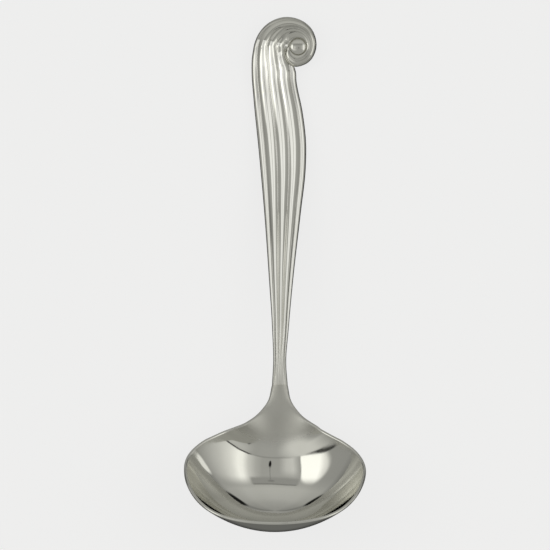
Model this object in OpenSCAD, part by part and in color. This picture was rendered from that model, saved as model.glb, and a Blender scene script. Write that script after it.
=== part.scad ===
// Silver sauce ladle: a wide oval bowl, an arched neck and a fluted stem that
// ends in a scroll curled to one side. The bowl, the stem, the cast scroll, the
// domed eye of the scroll and the drop under the throat are separate pieces of
// silver, joined with thin seams of hard solder.
//
// The ladle lies at rest on its bowl and the underside of its stem.
// +Y runs from the bowl to the scroll, +X is the side the scroll curls to.

/* [Bowl] */
// Width of the bowl across its lip
bowl_width = 64; // [56:1:72]
// Length of the oval of the lip, front to back
bowl_length = 53.5; // [50:0.5:57]
// Depth from the lip's middle to the lowest point of the wall's centre
bowl_depth = 20.5; // [18:0.5:23]
// Thickness of the bowl's wall
wall = 1.2; // [1:0.1:1.6]

/* [Handle] */
// Length along the handle, from the bowl's heel to the eye of the scroll
handle_length = 157; // [145:1:170]
// Thickness of the stem in front of its middle plane, where it is widest
stem_crown = 2.6; // [2:0.1:3.2]
// Thickness of the stem behind its middle plane
stem_back = 1.3; // [1:0.1:1.8]

/* [Flutes] */
// Number of flutes across the stem
flutes = 4; // [3:1:5]
// Height of the ridges above and below the plain surface
flute_relief = 0.4; // [0.2:0.05:0.5]

/* [Scroll] */
// Radius of the round seat that the coil leaves for the eye
seat_radius = 3.2; // [3:0.1:3.3]
// Height of the domed eye above the middle plane of the stem
eye_height = 2.2; // [1.8:0.1:2.6]

/* [Drop] */
// Half the width of the drop at its widest
drop_half = 3; // [2:0.5:4]
// Thickness of the drop
drop_thick = 1; // [0.8:0.1:1.4]

/* [Joints] */
// Place of the joint between the bowl and the stem, along the handle
neck_joint = 30; // [28:1:34]
// Place of the joint between the stem and the scroll, along the handle
scroll_joint = 140; // [136:1:142]
// Thickness of the solder in a joint
solder = 0.15; // [0.1:0.05:0.2]

/* [Hidden] */

silver = [0.84, 0.84, 0.80];
cast_silver = [0.78, 0.78, 0.74];
solder_silver = [0.70, 0.70, 0.66];

// ---- stations: [place along the handle, value], at the handle's own length
nominal_length = 157;
stretch = handle_length / nominal_length;

// slope of the handle against the plane of the lip, in degrees
SLOPE = [[9, 52.5], [15, 52], [27, 43.5], [38, 36], [55, 28.5], [80, 23], [112, 22],
         [130, 27], [148, 36], [161, 41], [170, 50]];
// half the width of the shoulders, as parts of the lip's half width
SHOULDER = [[4, 0.63], [8, 0.51], [12, 0.41], [16, 0.32], [20, 0.21], [24, 0.12], [30, 0.07]];
// how far the middle of the throat drifts to one side; the neck springs off centre
DRIFT = [[-20, 0], [-15, 0], [-6, -0.5], [2, -0.7], [7, -0.2], [12, 1.05], [18, 1.35], [24, 1.6],
         [30, 1.7]];
// left and right edges of the stem, seen from the front
LEFT = [[30, -1.1], [38, -0.65], [50, -1], [70, -2.2], [95, -3.85], [120, -5.9],
        [138, -7.6], [148, -8.3], [153, -8.2], [157, -7.6]];
RIGHT = [[30, 4.5], [38, 3.95], [50, 4.8], [70, 6.55], [95, 9.2], [112, 10.9], [122, 11],
         [133, 9.85], [145, 7.6], [148.5, 7.3], [150, 6.7], [151.2, 5.35], [153, 4.1],
         [155, 3.85], [157, 5]];
// right edge of the flutes near the scroll, where the coil overlaps the last flute
FLUTED = [[133, 9.85], [145, 7.6], [149, 7.1], [153, 6.3], [157, 5]];
// height of the stem's front over its middle plane, as parts of stem_crown
CROWN = [[30, 0.6], [60, 0.65], [100, 0.88], [130, 1], [157, 1]];
// how far the flutes have risen out of the plain neck
RISEN = [[30, 0], [38, 0.3], [50, 0.7], [70, 1], [157, 1]];

// the flutes are narrow grooves between rounded ridges; this softens their bottoms
groove_soft = 0.01;

// ---- the scroll: [angle about the eye, value]; it winds from 180 down to -160
eye_x = 8.2;
eye_place = handle_length;
coil_start = 180;
coil_end = -160;
coil_step = 7.5;
COIL = [[-160, 4.2], [-150, 4.8], [-130, 5.65], [-114, 6.2], [-96, 6.95], [-73, 6.75], [-45, 6.5],
        [-25, 6.35], [0, 6.5], [30, 7.1], [60, 8.35], [90, 10], [120, 12.1], [150, 14.15],
        [180, 15.8]];
COIL_HEIGHT = [[-160, 0.5], [-90, 0.65], [0, 0.8], [180, 1]];
// the flutes sink away as they wind in toward the eye
COIL_RISEN = [[-160, 0], [-60, 0.03], [0, 0.04], [60, 0.06], [100, 0.1], [130, 0.2], [155, 0.55], [180, 1]];
// how far the coil's section is cut back to leave the upright wall of the seat
seat_cut = 0.8;
seat_soft = 0.1;

// ---- the bowl: an oval whose depth follows a mix of square and fourth power
fullness = 0.15;
// the oval is fuller in front and slimmer toward the throat than an ellipse
front_full = 0.42;
back_slim = 1;
heel_y = 0.28 * bowl_length;
half_w = bowl_width / 2 - wall / 2;
half_l = bowl_length / 2 - wall / 2;
half_t = wall / 2;
heel_turn = acos(-heel_y / half_l);
front_turn = 5;
// the wall keeps the oval's shape this far back, then fades into the throat
wall_until = 21.5;
wall_limit = 24.5;

// ---- the drop under the throat: [place, half width as a part of drop_half]
DROP = [[6, 0.1], [9, 0.6], [14, 0.95], [18, 1], [26, 0.65], [34, 0.4], [40, 0.15]];
drop_start = 6;
drop_end = 40;
// the eye's rim stands this far over the middle plane
eye_rim = 0.8;
// and its flat foot stays this far inside the back of the coil
eye_seat = 0.3;
// thin seams stop this far short of the faceted skins beside them
seam_clear = 0.02;

// ---- how finely the skins are cut
oval_rows = 25;
throat_rows = 20;
stem_rows = 32;
scroll_rows = 10;
drop_rows = 20;
drop_cut = 20;
top_cuts = 28;
back_cuts = 16;
cap_cuts = 4;
cap_angle = 14;
path_step = 0.5;
path_reach = 176;
tiny = 0.01;

function ease(a, b, x) = let (u = min(1, max(0, (x - a) / (b - a)))) u * u * (3 - 2 * u);
function unit(v) = v / norm(v);

// smooth curve through a table of stations
function chord(tab, i) = (tab[i + 1][1] - tab[i][1]) / (tab[i + 1][0] - tab[i][0]);
function gap(tab, i) = tab[i + 1][0] - tab[i][0];
function tangent(tab, i) =
    i == 0 ? chord(tab, 0)
    : i == len(tab) - 1 ? chord(tab, i - 1)
    : (chord(tab, i - 1) * gap(tab, i) + chord(tab, i) * gap(tab, i - 1))
      / (gap(tab, i) + gap(tab, i - 1));
function spline(tab, at) = let (
    last = len(tab) - 1,
    x = min(tab[last][0], max(tab[0][0], at)),
    i = min(last - 1, len([for (p = tab) if (p[0] <= x) 1]) - 1),
    h = gap(tab, i),
    u = (x - tab[i][0]) / h)
    (2 * pow(u, 3) - 3 * u * u + 1) * tab[i][1]
    + (pow(u, 3) - 2 * u * u + u) * h * tangent(tab, i)
    + (3 * u * u - 2 * pow(u, 3)) * tab[i + 1][1]
    + (pow(u, 3) - u * u) * h * tangent(tab, i + 1);

// ---- centre line: the bowl's own curve up to the heel, then the sloping handle.
// It is measured by t, which is 0 at the heel and negative inside the bowl.
function bowl_z(y) = let (r = y / half_l)
    -bowl_depth * (1 - (1 - fullness) * r * r - fullness * pow(r, 4));
function bowl_slope(y) = let (r = y / half_l)
    atan(bowl_depth / half_l * (2 * (1 - fullness) * r + 4 * fullness * pow(r, 3)));

function egg(r) = 1 + (r < 0 ? front_full : back_slim) * pow(r, 3);

CLIMB = concat([[0, bowl_slope(heel_y)]], SLOPE);
function slope(t) = t < 0 ? bowl_slope(heel_y + t) : spline(CLIMB, t / stretch);

PATH = [for (i = 0, y = heel_y, z = bowl_z(heel_y);
             i * path_step <= path_reach * stretch;
             y = y + path_step * cos(slope((i + 0.5) * path_step)),
             z = z + path_step * sin(slope((i + 0.5) * path_step)),
             i = i + 1) [y, z]];
function centre(t) = t < 0
    ? [heel_y + t, bowl_z(heel_y + t)]
    : let (i = floor(t / path_step), u = t / path_step - i) PATH[i] * (1 - u) + PATH[i + 1] * u;

// ---- middle surface of the bowl and its throat
function lean(t) = slope(t) * ease(6, 26, t);
function rise(t, x) = let (
    c = centre(t)[0],
    span = wall_limit - wall_until,
    y = c < wall_until ? c : wall_until + span * (1 - exp((wall_until - c) / span)),
    r = y / half_l,
    q = pow(x / half_w, 2) * egg(r))
    bowl_depth * q * (1 - fullness + fullness * (2 * r * r + q))
    * (1 - ease(12, neck_joint, t));
function middle(t, x) = let (c = centre(t), g = rise(t, x), a = lean(t))
    [x + spline(DRIFT, t / stretch), c[0] - g * sin(a), c[1] + g * cos(a)];
function facing(t, x) = unit(cross(middle(t, x + tiny) - middle(t, x - tiny),
                                   middle(t + tiny, x) - middle(t - tiny, x)));

// a row of the bowl is named by v: degrees round the oval, then on up the throat
function row_t(v) = v <= heel_turn ? -half_l * cos(v) - heel_y : v - heel_turn;
function oval_half(v) = half_w * sin(v) / sqrt(egg(-cos(v)));
EDGE = concat([[0, oval_half(heel_turn)]], [for (p = SHOULDER) [p[0], p[1] * half_w]]);
function row_half(v) = v <= heel_turn ? oval_half(v) : spline(EDGE, v - heel_turn);
function rim(v, side) = middle(row_t(v), side * row_half(v));

// ---- closed ring round a row: front skin, right edge, back skin, left edge
TURNS = concat(
    [for (i = [0:top_cuts]) cap_angle + (180 - 2 * cap_angle) * i / top_cuts],
    [for (i = [1:cap_cuts - 1]) 180 - cap_angle + 2 * cap_angle * i / cap_cuts],
    [for (i = [0:back_cuts]) 180 + cap_angle + (180 - 2 * cap_angle) * i / back_cuts],
    [for (i = [1:cap_cuts - 1]) 360 - cap_angle + 2 * cap_angle * i / cap_cuts]);

// edge of the sheet: half a circle round the rim
function lip_point(v, side, turn) = let (
    p = rim(v, side),
    n = facing(row_t(v), side * row_half(v)),
    along = rim(v + tiny, side) - rim(v - tiny, side),
    out = unit(cross(along, n)) * side)
    p + half_t * (n * cos(turn) + out * sin(turn));
function sheet_point(v, turn) =
    turn > 180 - cap_angle && turn < 180 + cap_angle
        ? lip_point(v, 1, (turn - 180 + cap_angle) * 90 / cap_angle)
    : turn > 360 - cap_angle
        ? lip_point(v, -1, 180 - (turn - 360 + cap_angle) * 90 / cap_angle)
    : let (
        front = turn < 180,
        u = (turn - (front ? 0 : 180) - cap_angle) * 90 / (90 - cap_angle),
        x = -row_half(v) * cos(u) * (front ? 1 : -1))
        middle(row_t(v), x) + facing(row_t(v), x) * half_t * (front ? 1 : -1);

// full section of the stem over its middle plane
function plump(turn, front, back) =
    sin(turn) >= 0 ? front * pow(sin(turn), 0.85) : -back * pow(-sin(turn), 0.7);
function crown(t) = stem_crown * spline(CROWN, t / stretch);
function neck_point(v, turn) = let (
    t = row_t(v),
    x = -(row_half(v) + half_t) * cos(turn))
    middle(t, x) + facing(t, x) * plump(turn, crown(t), stem_back);

function bowl_ring(v) = let (k = ease(heel_turn + 14, heel_turn + neck_joint, v))
    [for (a = TURNS) k == 0 ? sheet_point(v, a)
                     : sheet_point(v, a) * (1 - k) + neck_point(v, a) * k];

// ---- stem and scroll: plan points laid on the arched middle surface
function laid(x, t, n) = let (c = centre(t), a = slope(t))
    [x, c[0] - n * sin(a), c[1] + n * cos(a)];
// across runs from 0 to 2 over the flutes
function flute(turn, across, width, risen) = sin(turn) <= 0 ? 0
    : min(flute_relief, 0.11 * width) * risen * pow(sin(turn), 0.5)
      * (2 * sqrt(pow(cos(90 * flutes * across), 2) + groove_soft) - 1);
function stem_ring(t) = let (
    s = t / stretch,
    a = spline(LEFT, s),
    b = spline(RIGHT, s),
    risen = spline(RISEN, s),
    shown = s < 133 ? 1 : min(1, (b - a) / (spline(FLUTED, s) - a)))
    [for (w = TURNS) laid((a + b) / 2 - (b - a) / 2 * cos(w), t,
                          plump(w, crown(t), stem_back)
                          + flute(w, shown * (1 - cos(w)), b - a, risen))];
function coil_ring(angle) = let (
    outer = spline(COIL, angle),
    inner = seat_radius - seat_cut * (1 - ease(150, 180, angle)),
    height = stem_crown * spline(COIL_HEIGHT, angle))
    [for (w = TURNS) let (
        d = (outer + inner + (outer - inner) * cos(w)) / 2 - seat_radius,
        r = seat_radius + (d + sqrt(d * d + seat_soft * seat_soft)) / 2)
        laid(eye_x + r * cos(angle), eye_place + r * sin(angle),
             plump(w, height, stem_back)
             + flute(w, 1 - cos(w), outer - inner, spline(COIL_RISEN, angle)))];

// ---- the way the ladle settles: tipped back until bowl and stem both touch
UNDER_BOWL = [for (y = [-half_l:0.5:heel_y]) let (a = bowl_slope(y))
    [y + half_t * sin(a), bowl_z(y) - half_t * cos(a)]];
UNDER_STEM = [for (t = [80:1:165]) let (p = laid(0, t * stretch, -stem_back)) [p[1], p[2]]];
function lowest(points, a) = min([for (p = points) p[1] * cos(a) - p[0] * sin(a)]);
function settle(a, b, tries) = let (m = (a + b) / 2)
    tries == 0 ? m
    : lowest(UNDER_STEM, m) > lowest(UNDER_BOWL, m) ? settle(m, b, tries - 1)
    : settle(a, m, tries - 1);
tilt = settle(15, 45, 24);
lift = -lowest(UNDER_BOWL, tilt);
FRONT_REACH = min([for (turn = [0:5:180])
    let (p = lip_point(front_turn, 1, turn)) p[1] * cos(tilt) + p[2] * sin(tilt)]);
FAR_REACH = max([for (angle = [60:10:120], p = coil_ring(angle))
    p[1] * cos(tilt) + p[2] * sin(tilt)]);

module at_rest() {
    translate([0, -(FRONT_REACH + FAR_REACH) / 2, lift]) rotate([-tilt, 0, 0]) children();
}

// faces that close a ring whose two edges are rounded lips side by side
function lip_faces(n) = let (right = function (k) top_cuts + k, left = function (k) n - k)
    concat(
        [concat([for (i = [0:right(1)]) i], [left(1)])],
        [for (k = [1:cap_cuts - 2]) [right(k), right(k + 1), left(k + 1), left(k)]],
        [[for (i = [right(cap_cuts - 1):left(cap_cuts - 1)]) i]]);

// skin over a run of rings; the first ring is closed flat, or as a rounded lip
module skin(rings, lip = false) {
    n = len(rings[0]);
    rows = len(rings);
    polyhedron(
        points = [for (r = rings) each r],
        faces = concat(
            lip ? lip_faces(n) : [[for (i = [0:n - 1]) i]],
            [for (r = [0:rows - 2], i = [0:n - 1]) let (j = (i + 1) % n)
                [r * n + i, (r + 1) * n + i, (r + 1) * n + j]],
            [for (r = [0:rows - 2], i = [0:n - 1]) let (j = (i + 1) % n)
                [r * n + i, (r + 1) * n + j, r * n + j]],
            [[for (i = [n - 1:-1:0]) (rows - 1) * n + i]]),
        convexity = 10);
}

function steps(a, b, n) = [for (i = [0:n]) a + (b - a) * i / n];

// ---- the drop: a leaf laid against the back of the throat and of the stem's root
function half_at(t) = t <= neck_joint ? spline(EDGE, t) + half_t
    : (spline(RIGHT, t) - spline(LEFT, t)) / 2;
function back_at(t, x) = let (k = ease(14, neck_joint, t), u = x / half_at(t))
    half_t * (1 - k) + k * stem_back * pow(1 - u * u, 0.35);
function drop_ring(t, near, thick) = [for (w = [0:drop_cut:360 - drop_cut]) let (
    x = drop_half * spline(DROP, t) * cos(w))
    middle(t, x) - facing(t, x) * (back_at(t, x) + near + max(0, sin(w)) * thick)];
function drop_plump(t) = drop_thick * ease(drop_start - 3, 14, t) * ease(drop_end + 3, 30, t);

module bowl() {
    rows = concat(steps(front_turn, heel_turn, oval_rows),
                  [for (t = [1:throat_rows]) heel_turn + neck_joint * t / throat_rows]);
    color(silver) at_rest() skin([for (v = rows) bowl_ring(v)], lip = true);
}

module stem() {
    color(silver) at_rest()
        skin([for (t = steps(neck_joint + solder, scroll_joint, stem_rows)) stem_ring(t)]);
}

module scroll() {
    color(cast_silver) at_rest() skin(concat(
        [for (t = steps(scroll_joint + solder, eye_place, scroll_rows)) stem_ring(t)],
        [for (a = [coil_start - coil_step:-coil_step:coil_end]) coil_ring(a)]));
}

module at_eye() {
    translate(laid(eye_x, eye_place, 0)) rotate([slope(eye_place), 0, 0]) children();
}

module scroll_eye() {
    radius = seat_radius - solder;
    color(cast_silver) at_rest() at_eye() rotate_extrude($fn = 48) polygon(concat(
        [[0, -stem_back + eye_seat], [radius, -stem_back + eye_seat]],
        [for (a = [0:10:90]) [radius * cos(a), eye_rim + (eye_height - eye_rim) * sin(a)]]));
}

module heel_drop() {
    color(silver) at_rest() skin([for (t = steps(drop_start, drop_end, drop_rows))
        drop_ring(t, solder, drop_plump(t))]);
}

module neck_solder() {
    color(solder_silver) at_rest()
        skin([stem_ring(neck_joint), stem_ring(neck_joint + solder)]);
}

module heel_solder() {
    color(solder_silver) at_rest() skin([for (t = steps(drop_start, drop_end, drop_rows))
        drop_ring(t, seam_clear, solder - 2 * seam_clear)]);
}

module scroll_solder() {
    color(solder_silver) at_rest()
        skin([stem_ring(scroll_joint), stem_ring(scroll_joint + solder)]);
}

module eye_solder() {
    color(solder_silver) at_rest() at_eye() rotate_extrude($fn = 48)
        translate([seat_radius - solder, -stem_back + eye_seat])
            square([solder - seam_clear, stem_back - eye_seat + eye_rim]);
}

bowl();
stem();
scroll();
scroll_eye();
heel_drop();
neck_solder();
heel_solder();
scroll_solder();
eye_solder();
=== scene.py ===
import math
from functools import partial, reduce

import bmesh
import bpy
import numpy as np
from mathutils import Matrix, Vector


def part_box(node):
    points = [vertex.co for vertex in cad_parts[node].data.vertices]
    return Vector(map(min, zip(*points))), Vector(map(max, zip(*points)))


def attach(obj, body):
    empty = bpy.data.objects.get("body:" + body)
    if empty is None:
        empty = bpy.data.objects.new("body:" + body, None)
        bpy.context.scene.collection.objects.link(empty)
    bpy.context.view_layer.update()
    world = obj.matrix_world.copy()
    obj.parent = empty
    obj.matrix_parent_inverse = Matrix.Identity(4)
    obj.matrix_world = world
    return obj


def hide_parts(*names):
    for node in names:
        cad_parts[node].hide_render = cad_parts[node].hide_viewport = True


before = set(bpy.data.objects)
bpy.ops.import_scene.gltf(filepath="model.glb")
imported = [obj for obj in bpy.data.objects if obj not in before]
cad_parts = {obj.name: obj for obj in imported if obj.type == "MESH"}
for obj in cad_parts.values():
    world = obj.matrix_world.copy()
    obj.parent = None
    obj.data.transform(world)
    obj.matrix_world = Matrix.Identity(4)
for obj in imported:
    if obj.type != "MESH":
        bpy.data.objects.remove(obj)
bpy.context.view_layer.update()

# ---------------------------------------------------------------------------
# The ladle's shape, in millimetres and degrees: the same stations and rules as
# the CAD model, cut far more finely. Lip frame: x right, y back, z up from the
# lip. A place t runs along the centre line: 0 at the bowl's heel, up the handle.
# ---------------------------------------------------------------------------
MM = 0.001

# bowl
BOWL_WIDE = 64
BOWL_LONG = 53.5
WALL = 1.2
HALF_T = WALL / 2
HALF_W = BOWL_WIDE / 2 - HALF_T
HALF_L = BOWL_LONG / 2 - HALF_T
DEPTH = 20.5
FULLNESS = 0.15
HEEL_Y = 0.28 * BOWL_LONG
FRONT_FULL = 0.42
BACK_SLIM = 1.0
WALL_UNTIL = 21.5       # behind this y the wall's section changes less and less,
WALL_LIMIT = 24.5       # and stops as it would be here
NECK_START = 14.0       # where the sheet begins to thicken into the neck
CAP_ANGLE = 14.0        # half of the turn that a rounded edge takes up

# stem
STEM_CROWN = 2.6
STEM_BACK = 1.3
FLUTES = 4
FLUTE_RELIEF = 0.4
GROOVE_SOFT = 0.01
NECK_JOINT = 30.0
SCROLL_JOINT = 140.0

# scroll and its eye
SEAT_RADIUS = 3.2
SEAT_CUT = 0.8
SEAT_SOFT = 0.1
EYE_X = 8.2
EYE_PLACE = 157.0
EYE_RIM = 0.8
EYE_HEIGHT = 2.2
EYE_SEAT = 0.3
COIL_START = 180.0
COIL_END = -160.0
COIL_TUCK = 16.0        # how much further the skin's end winds, into the root
ROOT_END = 170.0        # where the scroll's two lengths of skin meet

# drop and seams
DROP_HALF = 3.0
DROP_THICK = 1.0
DROP_START = 6.0
DROP_END = 40.0
SOLDER = 0.15
SEAM_CLEAR = 0.02

TINY = 0.02             # small step for directions along a surface

# by place: the slope of the handle against the lip's plane
SLOPE = [(9, 52.5), (15, 52), (27, 43.5), (38, 36), (55, 28.5), (80, 23), (112, 22),
         (130, 27), (148, 36), (161, 41), (170, 50)]
# half the width of the throat, as parts of the lip's half width
SHOULDER = [(4, 0.63), (8, 0.51), (12, 0.41), (16, 0.32), (20, 0.21), (24, 0.12), (30, 0.07)]
# how far the middle of the throat drifts to one side
DRIFT = [(-20, 0), (-15, 0), (-6, -0.5), (2, -0.7), (7, -0.2), (12, 1.05), (18, 1.35), (24, 1.6),
         (30, 1.7)]
# left and right edges of the stem, and the right edge of its flutes near the scroll
LEFT = [(30, -1.1), (38, -0.65), (50, -1), (70, -2.2), (95, -3.85), (120, -5.9),
        (138, -7.6), (148, -8.3), (153, -8.2), (157, -7.6)]
RIGHT = [(30, 4.5), (38, 3.95), (50, 4.8), (70, 6.55), (95, 9.2), (112, 10.9), (122, 11),
         (133, 9.85), (145, 7.6), (148.5, 7.3), (150, 6.7), (151.2, 5.35), (153, 4.1), (155, 3.85),
         (157, 5)]
FLUTED = [(133, 9.85), (145, 7.6), (149, 7.1), (153, 6.3), (157, 5)]
# height of the stem's front, and how far its flutes have risen, as parts of the whole
CROWN = [(30, 0.6), (60, 0.65), (100, 0.88), (130, 1), (157, 1)]
RISEN = [(30, 0), (38, 0.3), (50, 0.7), (70, 1), (157, 1)]
# by angle about the eye: outer radius, height of the front, how far the flutes have risen
COIL = [(-160, 4.2), (-150, 4.8), (-130, 5.65), (-114, 6.2), (-96, 6.95), (-73, 6.75), (-45, 6.5),
        (-25, 6.35), (0, 6.5), (30, 7.1), (60, 8.35), (90, 10), (120, 12.1), (150, 14.15),
        (180, 15.8)]
COIL_HEIGHT = [(-160, 0.5), (-90, 0.65), (0, 0.8), (180, 1)]
COIL_RISEN = [(-160, 0), (-60, 0.03), (0, 0.04), (60, 0.06), (100, 0.1), (130, 0.2), (155, 0.55),
              (180, 1)]
# half the width of the drop, as parts of the whole
DROP = [(6, 0.1), (9, 0.6), (14, 0.95), (18, 1), (26, 0.65), (34, 0.4), (40, 0.15)]


def ease(a, b, x):
    """0 at a and before it, 1 at b and past it, smooth between; a may be the larger."""
    u = np.clip((x - a) / (b - a), 0, 1)
    return u * u * (3 - 2 * u)


def spline(table, at):
    """Smooth curve through a table of stations."""
    xs, ys = np.array(table, float).T
    gap, chord = np.diff(xs), np.diff(ys) / np.diff(xs)
    inner = (chord[:-1] * gap[1:] + chord[1:] * gap[:-1]) / (gap[1:] + gap[:-1])
    tangent = np.concatenate([chord[:1], inner, chord[-1:]])
    x = np.clip(at, xs[0], xs[-1])
    i = np.clip(np.searchsorted(xs, x, side="right") - 1, 0, len(xs) - 2)
    u = (x - xs[i]) / gap[i]
    return ((2 * u**3 - 3 * u**2 + 1) * ys[i] + (u**3 - 2 * u**2 + u) * gap[i] * tangent[i]
            + (3 * u**2 - 2 * u**3) * ys[i + 1] + (u**3 - u**2) * gap[i] * tangent[i + 1])


def bowl_z(y):
    r = y / HALF_L
    return -DEPTH * (1 - (1 - FULLNESS) * r * r - FULLNESS * r**4)


def bowl_slope(y):
    r = y / HALF_L
    return np.arctan(DEPTH / HALF_L * (2 * (1 - FULLNESS) * r + 4 * FULLNESS * r**3))


CLIMB = [(0, math.degrees(bowl_slope(HEEL_Y)))] + SLOPE


def slope(t):
    """Slope of the centre line in radians; t is 0 at the heel, negative in the bowl."""
    t = np.asarray(t, float)
    return np.where(t < 0, bowl_slope(HEEL_Y + np.minimum(t, 0)), np.radians(spline(CLIMB, t)))


# the centre line up the handle, in short steps
STEP = 0.05
RUN = np.arange(0, 176, STEP)
MID_SLOPE = slope(RUN + STEP / 2)
PATH_Y = HEEL_Y + np.concatenate([[0], np.cumsum(np.cos(MID_SLOPE) * STEP)[:-1]])
PATH_Z = bowl_z(HEEL_Y) + np.concatenate([[0], np.cumsum(np.sin(MID_SLOPE) * STEP)[:-1]])


def egg(r):
    """Makes the oval of the lip fuller in front and slimmer toward the throat."""
    return 1 + np.where(r < 0, FRONT_FULL, BACK_SLIM) * r**3


def centre(t):
    """Where the centre line is: y and z."""
    t = np.asarray(t, float)
    y = np.where(t < 0, HEEL_Y + t, np.interp(t, RUN, PATH_Y))
    z = np.where(t < 0, bowl_z(HEEL_Y + np.minimum(t, 0)), np.interp(t, RUN, PATH_Z))
    return y, z


def middle(t, x):
    """Point of the middle surface of the bowl and its throat."""
    c, z = centre(t)
    span = WALL_LIMIT - WALL_UNTIL
    beyond = WALL_UNTIL + span * (1 - np.exp((WALL_UNTIL - np.maximum(c, WALL_UNTIL)) / span))
    r = np.where(c < WALL_UNTIL, c, beyond) / HALF_L
    q = (x / HALF_W) ** 2 * egg(r)
    rise = DEPTH * q * (1 - FULLNESS + FULLNESS * (2 * r * r + q))
    rise = rise * (1 - ease(12, NECK_JOINT, t))
    lean = slope(t) * ease(6, 26, t)
    return np.stack(np.broadcast_arrays(x + spline(DRIFT, t), c - rise * np.sin(lean),
                                        z + rise * np.cos(lean)), -1)


def unit(v):
    return v / np.linalg.norm(v, axis=-1, keepdims=True)


def facing(t, x):
    """Direction out of the front of the middle surface."""
    return unit(np.cross(middle(t, x + TINY) - middle(t, x - TINY),
                         middle(t + TINY, x) - middle(t - TINY, x)))


# rows of the bowl are named by v: degrees round the oval, then on up the throat
HEEL_TURN = math.degrees(math.acos(-HEEL_Y / HALF_L))
EDGE = [(0, HALF_W * math.sin(math.radians(HEEL_TURN)) / math.sqrt(egg(HEEL_Y / HALF_L)))]
EDGE += [(p, w * HALF_W) for p, w in SHOULDER]


def row_t(v):
    """Place of a row on the centre line."""
    return np.where(v <= HEEL_TURN, -HALF_L * np.cos(np.radians(v)) - HEEL_Y, v - HEEL_TURN)


def row_half(v):
    """Half the width of a row."""
    turn = np.radians(np.minimum(v, HEEL_TURN))
    oval = HALF_W * np.sin(turn) / np.sqrt(egg(-np.cos(turn)))
    return np.where(v <= HEEL_TURN, oval, spline(EDGE, v - HEEL_TURN))


def turns(front_cuts, back_cuts, cap_cuts):
    """Angles round a section: front skin, right edge, back skin, left edge."""
    skin = 180 - 2 * CAP_ANGLE
    return np.concatenate([
        CAP_ANGLE + skin * np.arange(front_cuts + 1) / front_cuts,
        180 - CAP_ANGLE + 2 * CAP_ANGLE * np.arange(1, cap_cuts) / cap_cuts,
        180 + CAP_ANGLE + skin * np.arange(back_cuts + 1) / back_cuts,
        360 - CAP_ANGLE + 2 * CAP_ANGLE * np.arange(1, cap_cuts) / cap_cuts])


def rim(v, side):
    return middle(row_t(v), side * row_half(v))


def lip_point(v, side, turn):
    """Point of the round lip; turn is 0 on the front skin and 180 on the back."""
    n = facing(row_t(v), side * row_half(v))
    along = rim(v + TINY, side) - rim(v - TINY, side)
    out = unit(np.cross(along, n)) * np.asarray(side)[..., None]
    turn = np.radians(turn)[..., None]
    return rim(v, side) + HALF_T * (n * np.cos(turn) + out * np.sin(turn))


def sheet_point(v, turn):
    """Point of the bowl's sheet: front skin, lip, back skin or lip, by its turn."""
    right = (turn > 180 - CAP_ANGLE) & (turn < 180 + CAP_ANGLE)
    left = turn > 360 - CAP_ANGLE
    front = np.where(turn < 180, 1.0, -1.0)
    u = (turn - np.where(turn < 180, 0, 180) - CAP_ANGLE) * 90 / (90 - CAP_ANGLE)
    x = -row_half(v) * np.cos(np.radians(u)) * front
    t = row_t(v)
    points = middle(t, x) + facing(t, x) * HALF_T * front[..., None]
    swing = np.where(right, (turn - 180 + CAP_ANGLE) * 90 / CAP_ANGLE,
                     180 - (turn - 360 + CAP_ANGLE) * 90 / CAP_ANGLE)
    side = np.where(right, 1.0, -1.0)
    return np.where((right | left)[..., None], lip_point(v, side, swing), points)


def plump(turn, front, back):
    """Full section of the stem over its middle plane."""
    s = np.sin(np.radians(turn))
    return np.where(s >= 0, front * np.abs(s) ** 0.85, -back * np.abs(s) ** 0.7)


def neck_point(v, turn):
    """Point of the neck's section, which the sheet turns into as it nears the stem."""
    t = row_t(v)
    x = -(row_half(v) + HALF_T) * np.cos(np.radians(turn))
    high = plump(turn, STEM_CROWN * spline(CROWN, t), STEM_BACK)
    return middle(t, x) + facing(t, x) * high[..., None]


def bowl_rings(v, turn):
    v, turn = v[:, None] + 0 * turn, turn[None, :] + 0 * v[:, None]
    k = ease(HEEL_TURN + NECK_START, HEEL_TURN + NECK_JOINT, v)[..., None]
    return sheet_point(v, turn) * (1 - k) + neck_point(v, turn) * k


def laid(x, t, n):
    """Plan point x, t laid on the arched middle surface, n over it."""
    c, z = centre(t)
    a = slope(t)
    return np.stack(np.broadcast_arrays(x, c - n * np.sin(a), z + n * np.cos(a)), -1)


def across(t, turn):
    """Place over the flutes, 0 to 2; near the scroll the coil overlaps the last of them."""
    a, b = spline(LEFT, t), spline(RIGHT, t)
    shown = np.where(t < FLUTED[0][0], 1, np.minimum(1, (b - a) / (spline(FLUTED, t) - a)))
    return shown * (1 - np.cos(np.radians(turn)))


def flute(turn, place, width, risen):
    """Height of the flutes over the section, narrow grooves between rounded ridges."""
    s = np.clip(np.sin(np.radians(turn)), 0, 1)
    wave = 2 * np.sqrt(np.cos(np.pi / 2 * FLUTES * place) ** 2 + GROOVE_SOFT) - 1
    return np.minimum(FLUTE_RELIEF, 0.11 * width) * risen * np.sqrt(s) * wave


def stem_rings(t, turn):
    t, turn = t[:, None] + 0 * turn, turn[None, :] + 0 * t[:, None]
    a, b = spline(LEFT, t), spline(RIGHT, t)
    high = plump(turn, STEM_CROWN * spline(CROWN, t), STEM_BACK)
    high = high + flute(turn, across(t, turn), b - a, spline(RISEN, t))
    return laid((a + b) / 2 - (b - a) / 2 * np.cos(np.radians(turn)), t, high)


def crease_closing(angle):
    """What the skin adds to the coil's radius, where the CAD has a crease beside the stem."""
    opening, end = 0.55 * (1 - ease(-112, -84, angle)), 0.25 + 0.3 * ease(COIL_END, -115, angle)
    return np.where(angle > -112, opening, end) - 0.03 * np.maximum(0, COIL_END - angle)


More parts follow.
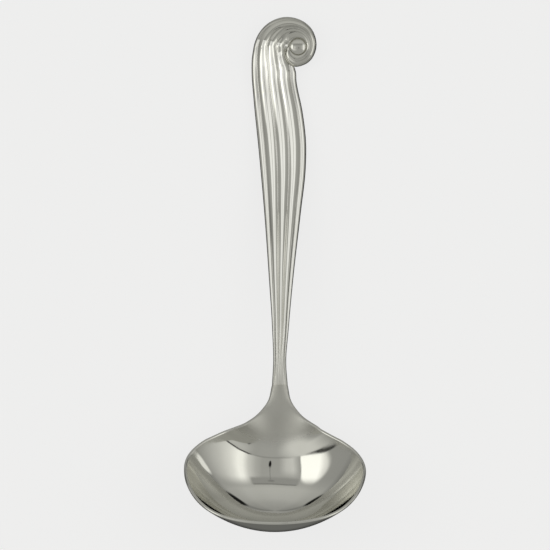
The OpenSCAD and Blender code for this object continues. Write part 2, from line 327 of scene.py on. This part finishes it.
def coil_rings(angle, turn):
    angle, turn = angle[:, None] + 0 * turn, turn[None, :] + 0 * angle[:, None]
    outer = spline(COIL, angle) + crease_closing(angle)
    inner = SEAT_RADIUS - SEAT_CUT * (1 - ease(150, 180, angle))
    d = (outer + inner + (outer - inner) * np.cos(np.radians(turn))) / 2 - SEAT_RADIUS
    r = SEAT_RADIUS + (d + np.sqrt(d * d + SEAT_SOFT**2)) / 2
    high = plump(turn, STEM_CROWN * spline(COIL_HEIGHT, angle), STEM_BACK)
    high = high + flute(turn, 1 - np.cos(np.radians(turn)), outer - inner, spline(COIL_RISEN, angle))
    a = np.radians(angle)
    return laid(EYE_X + r * np.cos(a), EYE_PLACE + r * np.sin(a), high)


# ---------------------------------------------------------------------------
# The pose at rest: tipped back until bowl and stem both touch the table
# ---------------------------------------------------------------------------
LOW_STEM = 80, 166          # places between which the stem is lowest


def settle():
    """Tilt at which the lowest points of the bowl and of the stem are level."""
    y = np.arange(-HALF_L, HEEL_Y, 0.5)
    a = bowl_slope(y)
    bowl = np.stack([y + HALF_T * np.sin(a), bowl_z(y) - HALF_T * np.cos(a)])
    stem = laid(0.0, np.arange(*LOW_STEM), -STEM_BACK).T[1:]
    low, high = math.radians(15), math.radians(45)
    for _ in range(40):         # halvings, far past the precision needed
        tilt = (low + high) / 2
        down = [(p[1] * math.cos(tilt) - p[0] * math.sin(tilt)).min() for p in (stem, bowl)]
        low, high = (tilt, high) if down[0] > down[1] else (low, tilt)
    return tilt


TILT = settle()
LIP_TO_TABLE = Matrix.Rotation(-TILT, 4, "X")


def placed(points):
    """Points of the lip frame, in metres and turned as the ladle lies."""
    turn = np.array(LIP_TO_TABLE.to_3x3())
    return np.asarray(points, float).reshape(-1, 3) @ turn.T * MM + REST


FRONT_CUTS, BACK_CUTS, CAP_CUTS = 96, 48, 16
FINE = turns(FRONT_CUTS, BACK_CUTS, CAP_CUTS)

# where the turned ladle goes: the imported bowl's box says
REST = np.zeros(3)
bowl_low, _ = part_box("bowl")
BOWL_V = np.concatenate([np.linspace(1, HEEL_TURN, 150),
                         HEEL_TURN + np.linspace(0, NECK_JOINT, 91)[1:]])
raw = placed(bowl_rings(BOWL_V, FINE))
REST = np.array([0, bowl_low.y - raw[:, 1].min(), bowl_low.z - raw[:, 2].min()])


# ---------------------------------------------------------------------------
# Meshes
# ---------------------------------------------------------------------------
SHARP_OVER = 50         # degrees; edges that turn by more than this aren't shaded smooth


def new_piece(name, points, faces, material, slot, replaces, **marks):
    """marks: 0 to 1 for each point. The first mark is painted shade along the flute bottoms, the
    second a softer finish with a little painted shade.
    """
    mesh = bpy.data.meshes.new(name)
    mesh.from_pydata([tuple(p) for p in points], [], faces)
    for key in ("wear", "satin"):
        mark = mesh.attributes.new(key, "FLOAT", "POINT")
        mark.data.foreach_set("value", np.ravel(marks.get(key, 0.0)) + np.zeros(len(points)))
    mesh.validate()
    work = bmesh.new()
    work.from_mesh(mesh)
    bmesh.ops.remove_doubles(work, verts=work.verts, dist=1e-6)
    bmesh.ops.recalc_face_normals(work, faces=work.faces)
    work.to_mesh(mesh)
    work.free()
    mesh.polygons.foreach_set("use_smooth", [True] * len(mesh.polygons))
    mesh.set_sharp_from_angle(angle=math.radians(SHARP_OVER))
    mesh.materials.append(material)
    piece = bpy.data.objects.new(name, mesh)
    bpy.context.scene.collection.objects.link(piece)
    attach(piece, "root")
    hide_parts(*replaces)


def skin_faces(rows, n, lip=None):
    """Quads between rings, with flat ends; lip closes the first ring as a rounded lip."""
    faces = [(r * n + i, (r + 1) * n + i, (r + 1) * n + (i + 1) % n, r * n + (i + 1) % n)
             for r in range(rows - 1) for i in range(n)]
    if lip:
        front, cap = lip
        right = [front + k for k in range(cap + 1)]
        left = [0] + [n - k for k in range(1, cap + 1)]
        faces.append(tuple(range(right[1] + 1)) + (left[1],))
        faces += [(right[k], right[k + 1], left[k + 1], left[k]) for k in range(1, cap - 1)]
        faces.append(tuple(range(right[cap - 1], left[cap - 1] + 1)))
    else:
        faces.append(tuple(range(n)))
    faces.append(tuple((rows - 1) * n + i for i in range(n - 1, -1, -1)))
    return faces


def skin(name, rings, material, slot, replaces, lip=None, **marks):
    """Closed piece through rings of points; marks are one value, or one for each ring or point."""
    rows, n = rings.shape[:2]
    marks = {key: np.broadcast_to(mark, (rows, n)) for key, mark in marks.items()}
    new_piece(name, placed(rings), skin_faces(rows, n, lip), material, slot, replaces, **marks)


def throat_satin(t):
    """The throat and neck, where the polishing wheel can't reach, have a softer finish and a little
    painted shade.
    """
    return (ease(7, 13, t) * (1 - ease(32, 60, t)))[:, None]


def groove_wear(turn, place, risen):
    """Painted shade along the bottoms of the flutes."""
    s = np.clip(np.sin(np.radians(turn)), 0, 1)
    deep = 1 - np.abs(np.cos(np.pi / 2 * FLUTES * place))
    return np.where(turn < 180, deep**6 * np.sqrt(s) * risen, 0.0)


# ---------------------------------------------------------------------------
# Shader nodes
# ---------------------------------------------------------------------------
def set_port(tree, port, value):
    """Set a node's input to a number or colour, or link it to another node's output."""
    if isinstance(value, bpy.types.NodeSocket):
        tree.links.new(value, port)
    else:
        port.default_value = value


def math_in(tree, op, *values):
    node = tree.nodes.new("ShaderNodeMath")
    node.operation = op
    for port, value in zip(node.inputs, values):
        set_port(tree, port, value)
    return node.outputs[0]


def smooth_in(tree, value, low, high):
    """0 below low, 1 above high, smooth between; the other way round where low is over high."""
    node = tree.nodes.new("ShaderNodeMapRange")
    node.interpolation_type = "SMOOTHSTEP"
    tree.links.new(value, node.inputs["Value"])
    node.inputs["From Min"].default_value = low
    node.inputs["From Max"].default_value = high
    return node.outputs["Result"]


# ---------------------------------------------------------------------------
# Materials
# ---------------------------------------------------------------------------
# dark colour that the silver is mixed toward: for casting pits, and as painted shade in the flute
# bottoms and over the softer finish
RESIDUE_AND_SHADE = (0.2, 0.19, 0.16, 1)


def silver_material(name, bright, dull, rough, scratch, wave, pits=0.0):
    """Polished silver: cloudy tone, polishing lines, soft waves, painted shade in the grooves.

    bright, dull: two tones the surface drifts between; rough: low and high roughness;
    scratch: how much the fine lines add; wave: height of the hand-worked waves in mm;
    pits: how dark the small pits of a casting are.
    """
    mat = bpy.data.materials.new(name)
    mat.use_nodes = True
    tree = mat.node_tree
    nodes, links = tree.nodes, tree.links
    shader = nodes["Principled BSDF"]
    shader.inputs["Metallic"].default_value = 1.0

    def add(kind, **inputs):
        node = nodes.new(kind)
        for key, value in inputs.items():
            set_port(tree, node.inputs[key.replace("_", " ")], value)
        return node

    def spread(value, low, high, out_low, out_high):
        node = add("ShaderNodeMapRange", Value=value, From_Min=low, From_Max=high,
                   To_Min=out_low, To_Max=out_high)
        return node.outputs["Result"]

    maths = partial(math_in, tree)

    # positions in millimetres
    where = nodes.new("ShaderNodeVectorMath")
    where.operation = "SCALE"
    links.new(nodes.new("ShaderNodeTexCoord").outputs["Object"], where.inputs[0])
    where.inputs["Scale"].default_value = 1 / MM
    mm = where.outputs["Vector"]
    cloud = add("ShaderNodeTexNoise", Vector=mm, Scale=0.09, Detail=3.0, Roughness=0.55).outputs["Fac"]
    grain = add("ShaderNodeTexNoise", Vector=mm, Scale=1.6, Detail=4.0, Roughness=0.6).outputs["Fac"]
    lines = add("ShaderNodeMapping", Vector=mm, Scale=(7.0, 0.35, 3.0), Rotation=(0.0, 0.0, 0.35))
    streak = add("ShaderNodeTexNoise", Vector=lines.outputs["Vector"], Scale=1.0, Detail=2.0)
    line = spread(streak.outputs["Fac"], 0.62, 0.7, 0.0, 1.0)
    # marks from the mesh: painted shade along the flute bottoms, and a softer finish that is also
    # painted a little darker
    wear, satin = nodes.new("ShaderNodeAttribute"), nodes.new("ShaderNodeAttribute")
    wear.attribute_name, satin.attribute_name = "wear", "satin"
    soft_finish_and_shade = satin.outputs["Fac"]
    groove_shade_and_pits = maths("MULTIPLY", wear.outputs["Fac"], spread(cloud, 0.3, 0.7, 0.6, 1.0))
    if pits:
        cells = add("ShaderNodeTexVoronoi", Vector=mm, Scale=0.33, Randomness=1.0)
        pit = maths("MULTIPLY", spread(cells.outputs["Distance"], 0.05, 0.11, 1.0, 0.0), pits)
        groove_shade_and_pits = maths("MAXIMUM", groove_shade_and_pits, pit)

    tone = nodes.new("ShaderNodeMix")
    tone.data_type = "RGBA"
    links.new(spread(cloud, 0.35, 0.65, 0.0, 1.0), tone.inputs["Factor"])
    tone.inputs["A"].default_value = (*bright, 1)
    tone.inputs["B"].default_value = (*dull, 1)
    # painted shade: the base colour is darkened toward the dark colour in the flute bottoms and a
    # little over the softer finish; the casting pits are real
    pits_and_painted_shade = nodes.new("ShaderNodeMix")
    pits_and_painted_shade.data_type = "RGBA"
    links.new(maths("ADD", maths("MULTIPLY", groove_shade_and_pits, 0.65), maths("MULTIPLY", soft_finish_and_shade, 0.2)),
              pits_and_painted_shade.inputs["Factor"])
    links.new(tone.outputs["Result"], pits_and_painted_shade.inputs["A"])
    pits_and_painted_shade.inputs["B"].default_value = RESIDUE_AND_SHADE
    links.new(pits_and_painted_shade.outputs["Result"], shader.inputs["Base Color"])

    uneven = spread(grain, 0.3, 0.7, *rough)
    for cause, much in ((line, scratch), (groove_shade_and_pits, 0.25), (soft_finish_and_shade, 0.42)):
        uneven = maths("ADD", uneven, maths("MULTIPLY", cause, much))
    links.new(uneven, shader.inputs["Roughness"])

    soft = add("ShaderNodeTexNoise", Vector=mm, Scale=0.16, Detail=1.0).outputs["Fac"]
    waves = add("ShaderNodeBump", Height=soft, Distance=wave * MM, Strength=1.0).outputs["Normal"]
    fine = add("ShaderNodeBump", Height=maths("ADD", grain, maths("MULTIPLY", line, -0.5)),
               Distance=0.0004 * MM, Strength=1.0, Normal=waves)
    links.new(fine.outputs["Normal"], shader.inputs["Normal"])
    return mat


silver = silver_material("polished_silver", (0.94, 0.935, 0.895), (0.915, 0.91, 0.865),
                         rough=(0.03, 0.06), scratch=0.03, wave=0.02)
cast = silver_material("cast_silver", (0.93, 0.925, 0.88), (0.88, 0.875, 0.825),
                       rough=(0.07, 0.12), scratch=0.03, wave=0.03, pits=1.0)
solder_mat = silver_material("solder_silver", (0.92, 0.9, 0.83), (0.88, 0.86, 0.78),
                             rough=(0.06, 0.12), scratch=0.04, wave=0.01)

# ---------------------------------------------------------------------------
# Pieces
# ---------------------------------------------------------------------------
# a little softer finish, and a little painted shade, near the lip's edges on the front skin
near_lip = ease(0.8, 1.0, np.abs(np.cos(np.radians(FINE))))[None, :] * (FINE < 180)
skin("bowl_skin", bowl_rings(BOWL_V, FINE), silver, "silver", ["bowl"], lip=(FRONT_CUTS, CAP_CUTS),
     satin=np.maximum(throat_satin(row_t(BOWL_V)), 0.2 * near_lip))
# the stem: painted shade along its flute bottoms, and toward the throat a softer finish with a little
# painted shade
stem_t = np.linspace(NECK_JOINT + SOLDER, SCROLL_JOINT, 300)
skin("stem_skin", stem_rings(stem_t, FINE), silver, "silver", ["stem"], satin=throat_satin(stem_t),
     wear=groove_wear(FINE, across(stem_t[:, None], FINE), spline(RISEN, stem_t)[:, None]))
# the scroll's skin is in two lengths, its root and its coil
root_t = np.linspace(SCROLL_JOINT + SOLDER, EYE_PLACE, 90)
first_turn = np.linspace(COIL_START, ROOT_END, 12)[1:]
coil_place = 1 - np.cos(np.radians(FINE))
root_place = np.concatenate([across(root_t[:, None], FINE), coil_place + 0 * first_turn[:, None]])
# painted shade along the flute bottoms of the scroll's root and coil
skin("scroll_root", np.concatenate([stem_rings(root_t, FINE), coil_rings(first_turn, FINE)]),
     cast, "cast_silver", ["scroll"], wear=groove_wear(FINE, root_place, 1.0))
skin("scroll_coil", coil_rings(np.linspace(ROOT_END, COIL_END - COIL_TUCK, 260), FINE),
     cast, "cast_silver", ["scroll"], wear=groove_wear(FINE, coil_place, 1.0))
# the neck's seam: softer finish with a little painted shade
skin("neck_seam", stem_rings(np.array([NECK_JOINT, NECK_JOINT + SOLDER]), FINE),
     solder_mat, "silver_solder", ["neck_solder"], satin=1.0)
skin("scroll_seam", stem_rings(np.array([SCROLL_JOINT, SCROLL_JOINT + SOLDER]), FINE),
     solder_mat, "silver_solder", ["scroll_solder"])


def half_at(t):
    """Half the width of the throat or stem."""
    stem_half = (spline(RIGHT, t) - spline(LEFT, t)) / 2
    return np.where(t <= NECK_JOINT, spline(EDGE, t) + HALF_T, stem_half)


def drop_rings(near, thick):
    """Leaf laid near the back of the throat; thick gives its height by place."""
    t = np.linspace(DROP_START, DROP_END, 90)[:, None]
    w = np.radians(np.arange(0, 360, 5.0))[None, :]
    x = DROP_HALF * spline(DROP, t) * np.cos(w)
    t = t + 0 * w
    k = ease(NECK_START, NECK_JOINT, t)
    back = HALF_T * (1 - k) + k * STEM_BACK * (1 - (x / half_at(t)) ** 2) ** 0.35
    off = back + near + np.maximum(0, np.sin(w)) * thick(t)
    return middle(t, x) - facing(t, x) * off[..., None]


def drop_height(t):
    return DROP_THICK * ease(DROP_START - 3, 14, t) * ease(DROP_END + 3, 30, t)


skin("heel_drop_skin", drop_rings(SOLDER, drop_height), silver, "silver", ["heel_drop"])
skin("heel_seam", drop_rings(SEAM_CLEAR, lambda t: SOLDER - 2 * SEAM_CLEAR + 0 * t),
     solder_mat, "silver_solder", ["heel_solder"])


def turned(name, profile, material, slot, replaces, closed):
    """Round piece on the axis of the scroll's eye, from points (radius, height)."""
    n = 128
    base, lean = laid(EYE_X, EYE_PLACE, 0.0), float(slope(EYE_PLACE))
    normal = np.array([0, -math.sin(lean), math.cos(lean)])
    along = np.array([0, math.cos(lean), math.sin(lean)])
    a = np.radians(np.arange(n) * 360 / n)
    round_it = np.outer(np.cos(a), [1, 0, 0]) + np.outer(np.sin(a), along)
    rings = np.array([base + r * round_it + normal * h for r, h in profile])
    faces = [(r * n + i, r * n + (i + 1) % n, (r + 1) * n + (i + 1) % n, (r + 1) * n + i)
             for r in range(len(profile) - 1) for i in range(n)]
    if closed:
        last = (len(profile) - 1) * n
        faces += [(last + i, last + (i + 1) % n, (i + 1) % n, i) for i in range(n)]
    else:
        faces += [tuple(range(n - 1, -1, -1)), tuple((len(profile) - 1) * n + i for i in range(n))]
    new_piece(name, placed(rings), faces, material, slot, replaces)


eye_r, eye_foot = SEAT_RADIUS - SOLDER, EYE_SEAT - STEM_BACK
dome = [(eye_r * math.cos(q), EYE_RIM + (EYE_HEIGHT - EYE_RIM) * math.sin(q))
        for q in np.radians(np.arange(0, 90, 2.5))]
turned("scroll_eye_dome", [(eye_r, eye_foot)] + dome + [(0.05, EYE_HEIGHT)],
       cast, "cast_silver", ["scroll_eye"], closed=False)
seam_r = eye_r + SOLDER - SEAM_CLEAR
turned("eye_seam", [(eye_r, eye_foot), (seam_r, eye_foot), (seam_r, EYE_RIM), (eye_r, EYE_RIM)],
       solder_mat, "silver_solder", ["eye_solder"], closed=True)

# ---------------------------------------------------------------------------
# Camera
# ---------------------------------------------------------------------------
CAMERA_OVER_LIP = 44.0      # degrees from the lip's plane up to the camera
DISTANCE = 6.0              # metres
FRAME_MM = 193.4            # width of the view at the lip
LIP_BELOW_MIDDLE = 68.9     # mm in the picture
SENSOR_MM = 36

over_lip = math.radians(CAMERA_OVER_LIP)
lip_turn = LIP_TO_TABLE.to_3x3()
cam_right = lip_turn @ Vector((1, 0, 0))
cam_up = lip_turn @ Vector((0, math.sin(over_lip), math.cos(over_lip)))
cam_back = lip_turn @ Vector((0, -math.cos(over_lip), math.sin(over_lip)))
mouth = Vector(REST)
aim = mouth + cam_up * LIP_BELOW_MIDDLE * MM

camera = bpy.data.objects.new("camera", bpy.data.cameras.new("camera"))
bpy.context.scene.collection.objects.link(camera)
camera.data.sensor_width = SENSOR_MM
camera.data.lens = SENSOR_MM * DISTANCE / (FRAME_MM * MM)
camera.data.clip_end = 20
axes = Matrix([cam_right, cam_up, cam_back]).transposed()
camera.matrix_world = Matrix.Translation(aim + cam_back * DISTANCE) @ axes.to_4x4()
bpy.context.scene.camera = camera
bpy.context.scene.view_settings.view_transform = "Standard"

# ---------------------------------------------------------------------------
# The studio that the silver mirrors, painted in directions fixed in the room
# ---------------------------------------------------------------------------
world = bpy.data.worlds.new("studio")
bpy.context.scene.world = world
world.use_nodes = True
sky, wires = world.node_tree.nodes, world.node_tree.links
math_node = partial(math_in, world.node_tree)
coordinates = sky.new("ShaderNodeTexCoord").outputs["Generated"]


def toward_axis(axis):
    """How far the looked-along direction leans toward an axis, -1 to 1."""
    node = sky.new("ShaderNodeVectorMath")
    node.operation = "DOT_PRODUCT"
    wires.new(coordinates, node.inputs[0])
    node.inputs[1].default_value = tuple(axis)
    return node.outputs["Value"]


def length(a, b):
    squares = (math_node("MULTIPLY", part, part) for part in (a, b))
    return math_node("SQRT", math_node("ADD", *squares))


# angles in degrees as seen from the ladle, with the camera at 0, 0:
# u to the camera's right, w upward
px, py, pz = (toward_axis(a) for a in (cam_right, cam_up, cam_back))
u = math_node("MULTIPLY", math_node("ARCTAN2", px, pz), 180 / math.pi)
w = math_node("MULTIPLY", math_node("ARCTAN2", py, length(px, pz)), 180 / math.pi)


def step(value, edge, soft):
    """0 below the edge, 1 above it, smooth over soft degrees."""
    return smooth_in(world.node_tree, value, edge - soft / 2, edge + soft / 2)


def inverse(mask):
    return math_node("SUBTRACT", 1.0, mask)


def overlap(*masks):
    """Where all the masks agree."""
    return reduce(partial(math_node, "MULTIPLY"), masks)


def window(u0, u1, w0, w1, soft):
    """Upright rectangle, 1 inside and 0 outside."""
    wide = math_node("SUBTRACT", step(u, u0, soft), step(u, u1, soft))
    high = math_node("SUBTRACT", step(w, w0, soft), step(w, w1, soft))
    return math_node("MULTIPLY", wide, high)


def paint(under, mask, level):
    """Grey level of the surroundings with one more area laid over them."""
    return math_node("ADD", math_node("MULTIPLY", under, inverse(mask)),
                     math_node("MULTIPLY", mask, level))


def ramp(value, stops):
    """Grey level by angle, straight between the stops."""
    node = sky.new("ShaderNodeValToRGB")
    low, high = stops[0][0], stops[-1][0]
    wires.new(math_node("DIVIDE", math_node("SUBTRACT", value, low), high - low), node.inputs["Fac"])
    points = node.color_ramp.elements
    while len(points) > 1:
        points.remove(points[-1])
    for k, (at, level) in enumerate(stops):
        point = points[0] if k == 0 else points.new((at - low) / (high - low))
        point.position = (at - low) / (high - low)
        point.color = (level, level, level, 1)
    return node.outputs["Color"]


def blob(u0, w0, wide, high, soft):
    """Oval patch, 1 inside and 0 outside, with a soft edge given as a part of its size."""
    a = math_node("MULTIPLY", math_node("SUBTRACT", u, u0), 1 / wide)
    b = math_node("MULTIPLY", math_node("SUBTRACT", w, w0), 1 / high)
    return inverse(step(length(a, b), 1.0, soft))


# the room, as the silver sees it: grey, a little lighter overhead, dimmer to the sides
off = math_node("ABSOLUTE", u)
tone = math_node("MULTIPLY",
                 ramp(w, [(-90, 0.33), (-20, 0.33), (20, 0.34), (30, 0.38), (38, 0.44), (46, 0.43),
                          (58, 0.4), (68, 0.34), (80, 0.3), (90, 0.28)]),
                 ramp(off, [(0, 1), (50, 0.97), (70, 0.85), (86, 0.8), (96, 0.55), (120, 0.55),
                            (180, 0.7)]))
# dark behind the ladle, darkest level with it
tone = paint(tone, step(off, 106, 18),
             ramp(w, [(-60, 0.14), (-22, 0.13), (-14, 0.07), (-8, 0.04), (8, 0.04), (20, 0.1),
                      (30, 0.2), (44, 0.27), (90, 0.3)]))
# edge of the table below the camera, bent down toward both sides
edge = math_node("MULTIPLY_ADD", u, math_node("MULTIPLY_ADD", u, -0.0036, -0.12), -3.0)
over = step(math_node("SUBTRACT", w, edge), 0, 2)
# key box to the camera's left, with a crisp near edge
key = overlap(over, blob(-53, 6, 16, 23, 0.35), inverse(step(w, 24, 16)),
              ramp(u, [(-92, 0), (-80, 0.12), (-70, 0.32), (-64, 0.62), (-59, 1), (-40, 1),
                       (-38.5, 0)]))
tone = paint(tone, key, 1.08)
# fill box to the camera's right, softer all round
fill = overlap(over, inverse(step(w, 25, 18)),
               ramp(u, [(16, 0), (25, 0.12), (35, 0.4), (42, 0.9), (47, 0.95), (55, 0.6),
                        (65, 0.35), (78, 0.15), (90, 0)]))
tone = paint(tone, fill, 0.95)
# paler wall between the key box and the camera
wall = overlap(over, inverse(step(w, 15, 14)), ramp(u, [(-38, 0), (-29, 0.9), (-20, 0.7), (-9, 0)]))
tone = paint(tone, wall, 0.58)
# a darker bar overhead, with a line along its top
tone = paint(tone, window(-38, 34, 20, 31, 5), 0.27)
tone = paint(tone, window(-36, 32, 29.5, 31.5, 1.5), 0.2)
# light spilt on the table in front of the boxes
tone = paint(tone, overlap(inverse(over), blob(-42, -9, 26, 9, 1.2)), 0.58)
tone = paint(tone, overlap(inverse(over), blob(56, -19, 20, 12, 1.2)), 0.46)
# dark line along the table's edge: thin to the right, thick at the left end
away = math_node("ABSOLUTE", math_node("SUBTRACT", w, edge))
thin = overlap(inverse(step(away, 0.8, 0.8)),
               ramp(u, [(-40, 0), (-34, 0), (-20, 0.2), (30, 0.25), (36, 1), (68, 1), (74, 0)]))
tone = paint(tone, thin, 0.03)
thick = overlap(inverse(step(away, 0.9, 1.0)), ramp(u, [(-78, 0), (-70, 1), (-58, 1), (-44, 0)]))
tone = paint(tone, thick, 0.04)
# a pale streak and a dark gap at either side
tone = paint(tone, blob(91, 11, 5, 9, 0.6), 0.75)
tone = paint(tone, blob(-106, 12, 6, 12, 0.6), 0.5)
tone = paint(tone, blob(97, 51, 9, 11, 0.6), 0.01)
tone = paint(tone, blob(-97, 50, 9, 10, 0.6), 0.01)
# the camera on its stand, and a small dark thing on the table
tone = paint(tone, blob(4.5, 4, 2, 4, 0.5), 0.01)
tone = paint(tone, window(4, 5, 6, 25, 0.8), 0.2)
tone = paint(tone, blob(3, 25.5, 5, 1.5, 0.8), 0.2)
tone = paint(tone, blob(36.5, -29.5, 1.5, 2.5, 0.6), 0.05)
# what reaches the eye after two reflections comes from further off, and is dimmer and flatter
rays = sky.new("ShaderNodeLightPath")
later = math_node("GREATER_THAN", rays.outputs["Ray Depth"], 2.5)
tone = paint(tone, later, math_node("MULTIPLY_ADD", tone, 0.55, 0.08))
# the backdrop that the camera itself sees
seen = rays.outputs["Is Camera Ray"]
tone = paint(tone, seen, 0.862)
# light bounced off pale paper is a little warm
warm = sky.new("ShaderNodeCombineColor")
less = math_node("MULTIPLY_ADD", inverse(seen), -0.06, 1.0)
wires.new(tone, warm.inputs["Red"])
wires.new(tone, warm.inputs["Green"])
wires.new(math_node("MULTIPLY", tone, less), warm.inputs["Blue"])
wires.new(warm.outputs["Color"], sky["Background"].inputs["Color"])


# ---------------------------------------------------------------------------
# Panel and table
# ---------------------------------------------------------------------------
def flat_quad(name, corners, material):
    """Flat object with four corners, for the panel and the table."""
    mesh = bpy.data.meshes.new(name)
    mesh.from_pydata(corners, [], [(0, 1, 2, 3)])
    mesh.materials.append(material)
    quad = bpy.data.objects.new(name, mesh)
    bpy.context.scene.collection.objects.link(quad)
    return quad


def panel_light():
    """Even glow by the panel's own coordinates: faded sides, a sharp foot, and a dark
    strip up its middle from a little above the foot."""
    mat = bpy.data.materials.new("panel_light")
    mat.use_nodes = True
    tree = mat.node_tree
    maths, band = partial(math_in, tree), partial(smooth_in, tree)
    tree.nodes.remove(tree.nodes["Principled BSDF"])
    uv = tree.nodes.new("ShaderNodeUVMap")
    uv.uv_map = "across"
    parts = tree.nodes.new("ShaderNodeSeparateXYZ")
    tree.links.new(uv.outputs["UV"], parts.inputs[0])
    x, y = parts.outputs["X"], parts.outputs["Y"]
    sides = maths("MULTIPLY", band(x, 0.0, 0.08), band(x, 1.0, 0.92))
    off_middle = maths("ABSOLUTE", maths("SUBTRACT", x, 0.5))
    strip = maths("MULTIPLY", band(off_middle, 0.06, 0.03), band(y, 0.09, 0.2))
    level = maths("MULTIPLY", sides, maths("MULTIPLY_ADD", strip, -0.8, 1.0))
    level = maths("MULTIPLY", level, band(y, 0.0, 0.01))
    glow, clear, total = (tree.nodes.new(kind) for kind in (
        "ShaderNodeEmission", "ShaderNodeBsdfTransparent", "ShaderNodeAddShader"))
    tree.links.new(maths("MULTIPLY", level, PANEL_GLOW), glow.inputs["Strength"])
    tree.links.new(glow.outputs[0], total.inputs[0])
    tree.links.new(clear.outputs[0], total.inputs[1])
    tree.links.new(total.outputs[0], tree.nodes["Material Output"].inputs["Surface"])
    return mat


# metres, from the middle of the lip as the camera sees it
PANEL_HALF = 0.7
PANEL_FOOT, PANEL_TOP = 0.165, 1.2
PANEL_NEAR = 0.4
PANEL_GLOW = 0.43

# soft light over the camera that is added to the room for the handle alone
low_left, low_right, high_right, high_left = (
    mouth + cam_right * x + cam_up * y + cam_back * PANEL_NEAR
    for x, y in ((-PANEL_HALF, PANEL_FOOT), (PANEL_HALF, PANEL_FOOT),
                 (PANEL_HALF, PANEL_TOP), (-PANEL_HALF, PANEL_TOP)))
panel = flat_quad("handle_panel", [low_left, low_right, high_right, high_left], panel_light())
panel.data.uv_layers.new(name="across").data.foreach_set("uv", [0, 0, 1, 0, 1, 1, 0, 1])
panel.visible_camera = False
panel.visible_diffuse = False
seen_by = bpy.data.collections.new("seen_by_handle")
for name in ("stem_skin", "scroll_root", "scroll_seam"):
    seen_by.objects.link(bpy.data.objects[name])
panel.light_linking.receiver_collection = seen_by

# pale table top, which glows so that only a faint shadow shows; the silver doesn't mirror it
paper = bpy.data.materials.new("floor_paper")
paper.use_nodes = True
for port, value in {"Base Color": (0.22, 0.22, 0.22, 1), "Roughness": 1, "Specular IOR Level": 0,
                    "Emission Color": (0.763, 0.763, 0.763, 1), "Emission Strength": 1}.items():
    paper.node_tree.nodes["Principled BSDF"].inputs[port].default_value = value
TABLE_HALF = 3.0
table = flat_quad("table_top", [(-TABLE_HALF, -TABLE_HALF, 0), (TABLE_HALF, -TABLE_HALF, 0),
                                (TABLE_HALF, TABLE_HALF, 0), (-TABLE_HALF, TABLE_HALF, 0)], paper)
table.location.z = -0.0005      # just clear of the bowl, against flicker
table.visible_glossy = False
